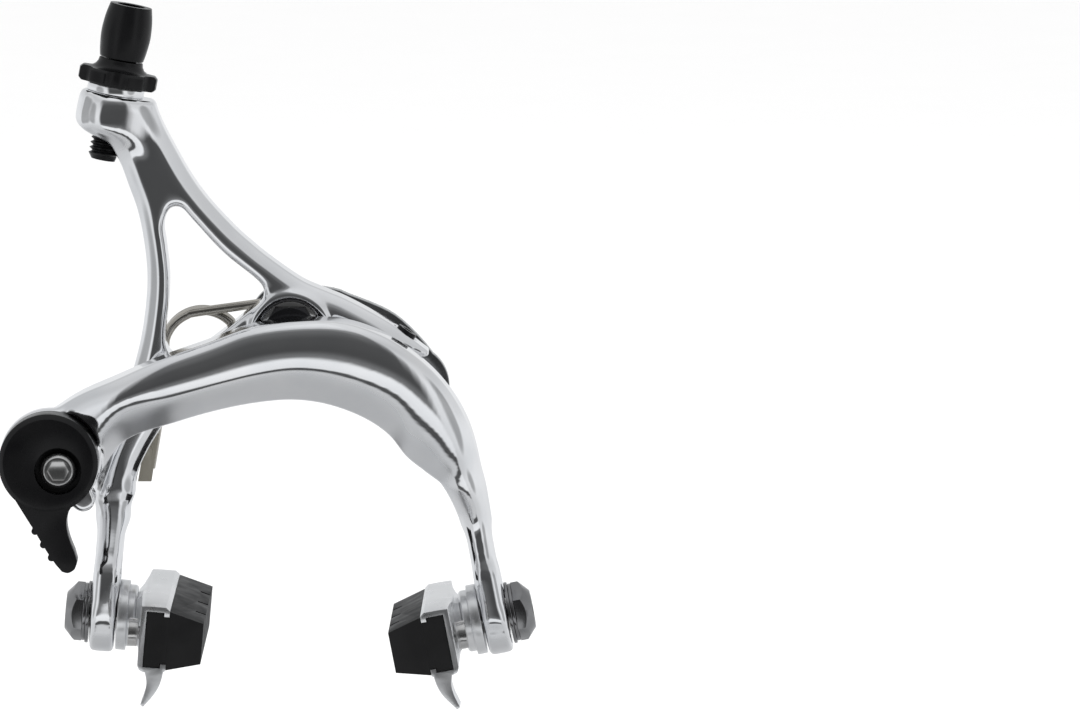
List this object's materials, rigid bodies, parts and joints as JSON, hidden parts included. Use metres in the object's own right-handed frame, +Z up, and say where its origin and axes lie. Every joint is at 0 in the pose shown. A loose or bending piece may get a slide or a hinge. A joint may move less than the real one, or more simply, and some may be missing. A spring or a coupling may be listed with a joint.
{
  "type": "caliper brake",
  "caption": "Dual-pivot side-pull rim brake caliper with quick release, barrel adjuster and cartridge shoes.",
  "frame": {"origin": "on the centre bolt's axis, in the plane of the rear washer that meets the fork crown", "axes": "+Y along the centre bolt to the rear, +Z up, front of the brake towards -Y"},
  "size_m": [0.103, 0.0635, 0.1334],
  "materials": {
    "polished_alloy": "mirror polished forging, clear anodised",
    "satin_alloy": "satin silver die casting",
    "grey_alloy": "dark satin forging",
    "bright_steel": "zinc plated steel",
    "dark_steel": "turned stainless steel, dark reflections",
    "black_steel": "black oxide",
    "spring_steel": "drawn wire, bronze grey",
    "bronze": "sintered bush",
    "tan_nylon": "moulded nylon",
    "black_plastic": "moulded, semi-gloss",
    "pad_rubber": "moulded rubber"
  },
  "bodies": {
    "root": {"bracket": "grey_alloy", "centre_bolt": "bright_steel", "rear_washer": "bright_steel", "centre_washer": "bright_steel", "centre_nut": "black_steel", "hub_spacer": "bright_steel", "return_spring": "spring_steel"},
    "rear_arm": {"y_arm": "polished_alloy", "y_arm_bush": "bronze", "centring_screw": "black_steel", "spring_sleeve": "tan_nylon", "detent_washer": "black_plastic"},
    "front_arm": {"c_arm": "polished_alloy", "side_pivot_bolt": "bright_steel", "side_spacer": "bright_steel", "side_bush": "bronze"},
    "wheel": {"adjuster_wheel": "black_plastic"},
    "barrel": {"adjuster_barrel": "black_plastic"},
    "lever": {"qr_lever": "black_plastic", "anchor_bolt": "bright_steel", "anchor_clamp": "bright_steel", "anchor_nut": "bright_steel"},
    "left_clamp": {"left_nut": "dark_steel", "left_washers": "dark_steel", "left_cup_washer": "satin_alloy"},
    "left_shoe": {"left_ball_washer": "satin_alloy", "left_stud": "bright_steel", "left_holder": "satin_alloy", "left_pad": "pad_rubber", "left_pad_screw": "bright_steel"},
    "right_clamp": {"right_nut": "dark_steel", "right_washers": "dark_steel", "right_cup_washer": "satin_alloy"},
    "right_shoe": {"right_ball_washer": "satin_alloy", "right_stud": "bright_steel", "right_holder": "satin_alloy", "right_pad": "pad_rubber", "right_pad_screw": "bright_steel"}
  },
  "joints": [
    {"name": "rear_arm_swing", "type": "hinge", "parent": "root", "child": "rear_arm", "pos_m": [0, -0.01285, 0], "axis": [0, -1, 0], "range_deg": [0, 8], "stiffness_Nm_per_rad": 1.2, "springref_deg": -20.05, "deforming": ["return_spring"]},
    {"name": "front_arm_swing", "type": "hinge", "parent": "root", "child": "front_arm", "pos_m": [0.0225, -0.01285, -0.012], "axis": [0, 1, 0], "range_deg": [0, 8]},
    {"name": "adjuster_turn", "type": "hinge", "parent": "rear_arm", "child": "wheel", "pos_m": [-0.0337, -0.01285, 0.0458], "axis": [0.1857, 0, 0.9826], "range_deg": [0, 1800]},
    {"name": "barrel_lift", "type": "slide", "parent": "rear_arm", "child": "barrel", "axis": [0.1857, 0, 0.9826], "range_m": [0, 0.005]},
    {"name": "release_swing", "type": "hinge", "parent": "front_arm", "child": "lever", "pos_m": [-0.0459, -0.032, -0.0232], "axis": [0, 1, 0], "range_deg": [0, 150]},
    {"name": "left_shoe_height", "type": "slide", "parent": "rear_arm", "child": "left_clamp", "axis": [0.0872, 0, 0.9962], "range_m": [0, 0.008]},
    {"name": "left_shoe_pitch", "type": "hinge", "parent": "left_clamp", "child": "left_shoe", "pos_m": [-0.0362, -0.016, -0.0548], "axis": [0.9962, 0, -0.0872], "range_deg": [-8, 8]},
    {"name": "right_shoe_height", "type": "slide", "parent": "front_arm", "child": "right_clamp", "axis": [-0.1908, 0, 0.9816], "range_m": [0, 0.008]},
    {"name": "right_shoe_pitch", "type": "hinge", "parent": "right_clamp", "child": "right_shoe", "pos_m": [0.0394, -0.016, -0.0553], "axis": [-0.9816, 0, -0.1908], "range_deg": [-8, 8]}
  ],
  "couplings": [
    {"joint": "front_arm_swing", "follows": "rear_arm_swing", "ratio": 1},
    {"joint": "adjuster_turn", "follows": "barrel_lift", "rad_per_m": 6283.2}
  ]
}
